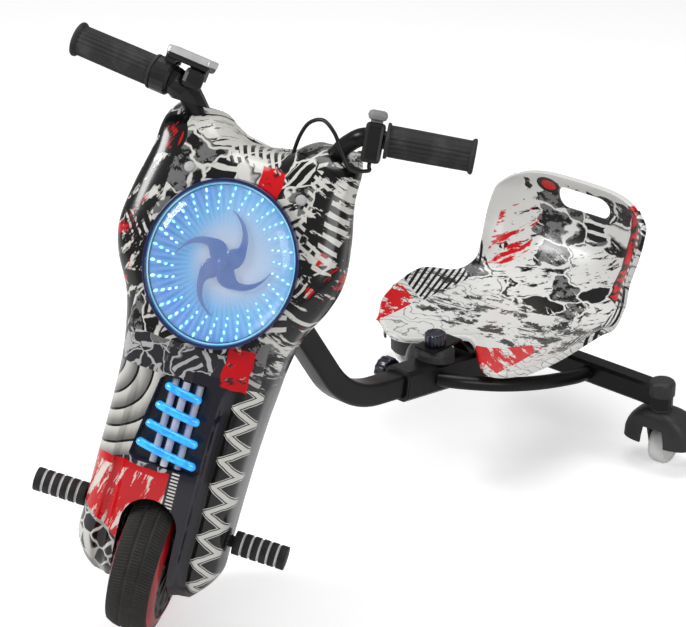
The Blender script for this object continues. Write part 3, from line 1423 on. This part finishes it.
def caster(side):
    name, swivel, wheel = caster_frames(side)
    post_low = CROSSBAR_Z - PIVOT_HEIGHT / 2
    post_high = CROSSBAR_Z + PIVOT_HEIGHT / 2
    rings = [
        hood_ring(0.014, 0.014, HOOD_TOP, 0.0),
        hood_ring(0.030, 0.024, HOOD_TOP - 0.006, 0.003),
        hood_ring(0.042, 0.030, HOOD_TOP - 0.017, 0.007),
        hood_ring(HOOD_HALF - 0.002, HOOD_DEPTH - 0.001, HOOD_TOP - 0.033, 0.010),
        hood_ring(HOOD_HALF, HOOD_DEPTH, HOOD_FOOT, 0.011),
    ]
    bm = loft_mesh(rings, caps=False)
    bm.faces.new([v for v in bm.verts if abs(v.co.z - HOOD_TOP) < 1e-6])
    hood = keep(f"caster_fork_{name}", bm, "dark_grey_plastic", swivel, sharp=50)
    wall = hood.modifiers.new("Wall", "SOLIDIFY")
    wall.thickness = HOOD_WALL
    wall.offset = -1
    slot_half = CASTER_WIDTH / 2 + RUNNING
    slot = outline_mesh(
        [(-slot_half - 0.008, 0.0), (slot_half + 0.008, 0.0), (slot_half + 0.003, 0.050), (slot_half, 0.066),
         (-slot_half, 0.066), (-slot_half - 0.003, 0.050)],
        -0.08, 0.10,
    )
    boolean(hood, keep(f"caster_slot_{name}", slot, None, swivel))
    for flank in (1, -1):
        inner = flank * slot_half
        outer = flank * (slot_half + CHEEK_WALL)
        outline = [(CASTER_TRAIL - 0.009, 0.021), (CASTER_TRAIL + 0.009, 0.021), (CASTER_TRAIL + 0.016, 0.070),
                   (CASTER_TRAIL - 0.026, 0.078), (CASTER_TRAIL - 0.022, 0.060)]
        cheek = outline_mesh(outline, min(inner, outer), max(inner, outer), "X")
        boolean(hood, keep(f"caster_cheek_{name}_{flank}", cheek, None, swivel), "UNION")
    stem = turned_mesh(rod_profile(STEM_RADIUS, HOOD_TOP - 0.006, post_high - 0.002), 12)
    boolean(hood, keep(f"caster_stem_{name}", stem, None, swivel), "UNION")
    collar = turned_mesh(rod_profile(PIVOT_RADIUS - 0.001, HOOD_TOP - 0.008, post_low - GAP), 14)
    boolean(hood, keep(f"caster_collar_{name}", collar, None, swivel), "UNION")
    hole = turned_mesh(rod_profile(clear_of(CASTER_AXLE, 10), -0.04, 0.04), 10, "X")
    boolean(hood, keep(f"caster_hole_{name}", hole, None, wheel))

    half = CASTER_WIDTH / 2
    radius = CASTER_RADIUS
    bore = CASTER_AXLE + GAP
    section = [
        (bore, -half), (0.0105, -half), (0.012, -half + 0.003), (radius - 0.007, -half + 0.003),
        (radius - 0.005, -half), (radius, -half + 0.005), (radius, half - 0.005),
        (radius - 0.005, half), (radius - 0.007, half - 0.003), (0.012, half - 0.003), (0.0105, half), (bore, half),
    ]
    keep(f"caster_wheel_{name}", turned_mesh(section, 16, "X"), "white_wheel", wheel, sharp=40)
    end = slot_half + CHEEK_WALL + 0.003
    pin = [
        (0, -end), (0.0065, -end), (0.0065, -end + 0.0027), (CASTER_AXLE, -end + 0.0027),
        (CASTER_AXLE, end - 0.0027), (0.0065, end - 0.0027), (0.0065, end), (0, end),
    ]
    keep(f"caster_axle_{name}", turned_mesh(pin, 10, "X"), "bright_steel", wheel)

    place = Matrix.Translation((side * TRACK / 2, CROSSBAR_Y, 0))
    outer = PIVOT_RADIUS + GAP + CAP_WALL
    foot = post_high - CAP_SKIRT
    cap = [
        (PIVOT_RADIUS + GAP, foot), (outer, foot), (outer, post_high), (outer * 0.9, post_high + 0.6 * CAP_RISE),
        (outer * 0.55, post_high + 0.9 * CAP_RISE), (0, post_high + CAP_RISE),
        (0, post_high + GAP), (PIVOT_RADIUS + GAP, post_high + GAP),
    ]
    made = keep(f"caster_cap_{name}", turned_mesh(list(reversed(cap[:6])) + list(reversed(cap[6:])), 16), "dark_grey_plastic", None, place)
    notch = box_mesh(
        (-side * 0.2 if side > 0 else 0, -CROSSBAR_DEPTH / 2 - GAP, foot - 0.02),
        (0 if side > 0 else 0.2, CROSSBAR_DEPTH / 2 + GAP, CROSSBAR_Z + CROSSBAR_HEIGHT / 2 + GAP),
    )
    boolean(made, keep(f"cap_notch_{name}", notch, None, None, place))


# Seat
SEAT_CENTRE_Y = [(0, 0.602), (0.12, 0.628), (0.3, 0.680), (0.48, 0.740), (0.60, 0.790), (0.70, 0.826),
                 (0.80, 0.848), (0.90, 0.856), (1.0, 0.838)]
SEAT_CENTRE_Z = [(0, 0.1700), (0.12, 0.1640), (0.3, 0.1625), (0.48, 0.1640), (0.60, 0.1780), (0.70, 0.207),
                 (0.80, 0.246), (0.90, 0.288), (1.0, 0.327)]
SEAT_EDGE_X = [(0, 0.128), (0.12, 0.150), (0.3, 0.157), (0.48, 0.139), (0.60, 0.128), (0.70, 0.126),
               (0.80, 0.128), (0.90, 0.128), (1.0, 0.108)]
SEAT_EDGE_Y = [(0, 0.572), (0.12, 0.606), (0.3, 0.680), (0.48, 0.740), (0.60, 0.772), (0.70, 0.782),
               (0.80, 0.796), (0.90, 0.810), (1.0, 0.826)]
SEAT_EDGE_Z = [(0, 0.178), (0.12, 0.191), (0.3, 0.200), (0.48, 0.184), (0.60, 0.193), (0.70, 0.222),
               (0.80, 0.256), (0.90, 0.290), (1.0, 0.321)]


def seat_point(place, share):
    """A point of the seat's upper side. Place runs from the front lip to the back's top."""
    centre = Vector((0, along(SEAT_CENTRE_Y, place), along(SEAT_CENTRE_Z, place)))
    edge = Vector((along(SEAT_EDGE_X, place), along(SEAT_EDGE_Y, place), along(SEAT_EDGE_Z, place)))
    reach = abs(share)
    rise = reach ** 3.2
    point = Vector((
        edge.x * share * (1.12 - 0.12 * reach * reach) if reach < 1 else edge.x * share,
        centre.y + (edge.y - centre.y) * rise,
        centre.z + (edge.z - centre.z) * rise,
    ))
    lobe = math.sin(math.pi * min(1.0, reach / 1.15)) ** 1.5
    front = 1 - smooth_step(place, 0.0, 0.22)
    point.y -= 0.052 * lobe * front
    point.z -= 0.006 * lobe * front
    return point


def seat():
    """A moulded bucket: pan with two thigh lobes, raised flanks and a back with a hand slot."""
    shares = spread(-1, 1, 13)
    places = spread(0, 0.22, 4)[:-1] + spread(0.22, 0.5, 3)[:-1] + spread(0.5, 0.8, 5)[:-1] + spread(0.8, 1, 4)
    bm = bmesh.new()
    rows = []
    for place in places:
        row = [seat_point(place, share) for share in shares]
        lip = Vector((0.004, 0, -0.007)) if place < 0.55 else Vector((0.003, 0.009, 0))
        row = [row[0] + Vector((-lip.x, lip.y, lip.z))] + row + [row[-1] + lip]
        rows.append(row)
    front = [point + Vector((0, -0.004, -0.008)) for point in rows[0]]
    top = [point + Vector((0, 0.008, 0.001)) for point in rows[-1]]
    rows = [front] + rows + [top]
    made = [[bm.verts.new(point) for point in row] for row in rows]
    for low, high in zip(made, made[1:]):
        for i in range(len(low) - 1):
            bm.faces.new((low[i], low[i + 1], high[i + 1], high[i]))
    mesh = bpy.data.meshes.new("seat")
    bm.to_mesh(mesh)
    bm.free()
    mesh.shade_smooth()
    bucket = bpy.data.objects.new("seat", mesh)
    bpy.context.scene.collection.objects.link(bucket)
    bucket.parent = FLOOR
    mesh.materials.append(material("printed_plastic"))
    wall = bucket.modifiers.new("Wall", "SOLIDIFY")
    wall.thickness = SEAT_WALL
    wall.offset = -1
    half = SLOT_HEIGHT / 2
    outline = [(SLOT_HALF - half + x, SLOT_CENTRE + z) for x, z in arc((0, 0), half, -90, 90, 6)]
    outline += [(-SLOT_HALF + half + x, SLOT_CENTRE + z) for x, z in arc((0, 0), half, 90, 270, 6)]
    boolean(bucket, keep("hand_slot", outline_mesh(outline, 0.80, 0.92), None, None))


def tube_top(y):
    """The height of the centre tube's upper face at a place along the tricycle."""
    return SOCKET_Z + (SOCKET_SIDE / 2) / math.cos(TUBE_SLOPE) - (y - SOCKET_Y) * math.tan(TUBE_SLOPE)


def seat_mount():
    """A rubber damper on the tube, a bent strap over it, a plate under the pan and a riser behind."""
    foot = tube_top(DAMPER_Y) + GAP
    top = tube_top(DAMPER_Y) + DAMPER_HEIGHT
    damper = turned_mesh(
        [(0, -0.012), (DAMPER_RADIUS, -0.012), (DAMPER_RADIUS, top - foot - 0.006), (DAMPER_RADIUS - 0.004, top - foot),
         (0, top - foot)], 16,
    )
    rubber = keep("seat_damper", damper, "grip_rubber", None, Matrix.Translation((0, DAMPER_Y, foot)))
    below = box_mesh((-0.1, -0.1, -0.2), (0.1, 0.3, SOCKET_SIDE / 2 + GAP))
    boolean(rubber, keep("damper_seat_cut", below, None, TUBE))
    high = top + GAP
    low = PLATE_HEIGHT
    wall = PLATE_WALL
    strap_outline = [
        (STRAP_START, high), (0.560, high), (0.583, low + 0.001), (PLATE_START + 0.02, low),
        (PLATE_START + 0.02, low + wall), (0.5845, low + wall + 0.001), (0.5615, high + wall), (STRAP_START, high + wall),
    ]
    plate = keep(
        "seat_plate",
        box_mesh((-PLATE_HALF, PLATE_START, low), (PLATE_HALF, PLATE_END, low + wall)),
        "black_steel", None,
    )
    strap = outline_mesh(strap_outline, -STRAP_HALF, STRAP_HALF, "X")
    boolean(plate, keep("seat_strap", strap, None, None), "UNION")
    hole = turned_mesh(rod_profile(KNOB_SCREW + GAP, high - 0.01, high + 0.02), 16)
    place = Matrix.Translation((0, DAMPER_Y, 0))
    boolean(plate, keep("strap_hole", hole, None, None, place))
    socket = turned_mesh(rod_profile(KNOB_SCREW + GAP, high - 0.012, high + 0.02), 16)
    boolean(rubber, keep("damper_hole", socket, None, None, place))
    riser_outline = [
        (RISER_START, tube_top(RISER_START) + GAP), (RISER_END, tube_top(RISER_END) + GAP),
        (RISER_END, low + wall / 2), (RISER_START, low + wall / 2),
    ]
    riser = outline_mesh(riser_outline, -0.018, 0.018, "X")
    boolean(plate, keep("seat_riser", riser, None, None), "UNION")
    return high + wall


def lobed_knob(name, radius, thickness, screw, finish, parent, place):
    """A hand knob with a scalloped rim, its screw running down from its face."""
    outline = []
    for i in range(KNOB_LOBES * 2):
        turn = math.tau * i / (KNOB_LOBES * 2)
        reach = radius - 0.0012 * (1 - math.cos(KNOB_LOBES * turn)) / 2
        outline.append((reach * math.cos(turn), reach * math.sin(turn)))
    sections = []
    for height, share in ((0, 0.94), (0.0015, 1), (thickness - 0.002, 1), (thickness, 0.84)):
        sections.append([Vector((x * share, y * share, height)) for x, y in outline])
    knob = keep(name, loft_mesh(sections), finish, parent, place, sharp=40)
    stud = turned_mesh(rod_profile(KNOB_SCREW, -screw, 0.002), 14)
    boolean(knob, keep(name + "_screw", stud, None, parent, place), "UNION")
    return knob


def knobs(strap_top):
    stand = SOCKET_SIDE / 2 + BOSS_LENGTH
    place = Matrix.Translation((-stand, KNOB_BACKSET, 0)) @ Matrix.Rotation(-math.pi / 2, 4, "Y")
    reach = stand - BOOM_SIDE / 2 - GAP
    lobed_knob("clamp_knob", KNOB_RADIUS, KNOB_THICKNESS, reach, "black_plastic", TUBE, place)
    place = Matrix.Translation((0, DAMPER_Y, strap_top + GAP))
    lobed_knob("seat_knob", SEAT_KNOB_RADIUS, SEAT_KNOB_HEIGHT, 0.012, "black_plastic", None, place)


def build():
    front_tyre()
    hub_shell()
    hub_cover("hub_cover_left", 1)
    hub_cover("hub_cover_right", -1)
    stator()
    front_axle()
    axle_nut("axle_nut_left", 1)
    axle_nut("axle_nut_right", -1)
    fork()
    headset()
    handlebar()
    handlebar_clamp()
    grip("grip_left", 1, 0.0, "grip_rubber", STEERING, bar_frame(1))
    grip("throttle_grip", -1, 0.0, "grip_rubber", STEERING, bar_frame(-1))
    throttle_housing()
    display_pod()
    horn_trigger()
    throttle_boot()
    switch_housing()
    power_button()
    control_cable()
    fairing()
    arch_liner()
    lamp()
    strut_insert()
    coil_lights()
    battery_pack()
    motor_controller()
    fairing_screw("fairing_screw_left", 1)
    fairing_screw("fairing_screw_right", -1)
    foot_peg("foot_peg_left", 1)
    foot_peg("foot_peg_right", -1)
    boom()
    centre_tube()
    socket_bush()
    crossbar()
    brace("brace_left", 1)
    brace("brace_right", -1)
    caster(1)
    caster(-1)
    seat()
    knobs(seat_mount())


build()
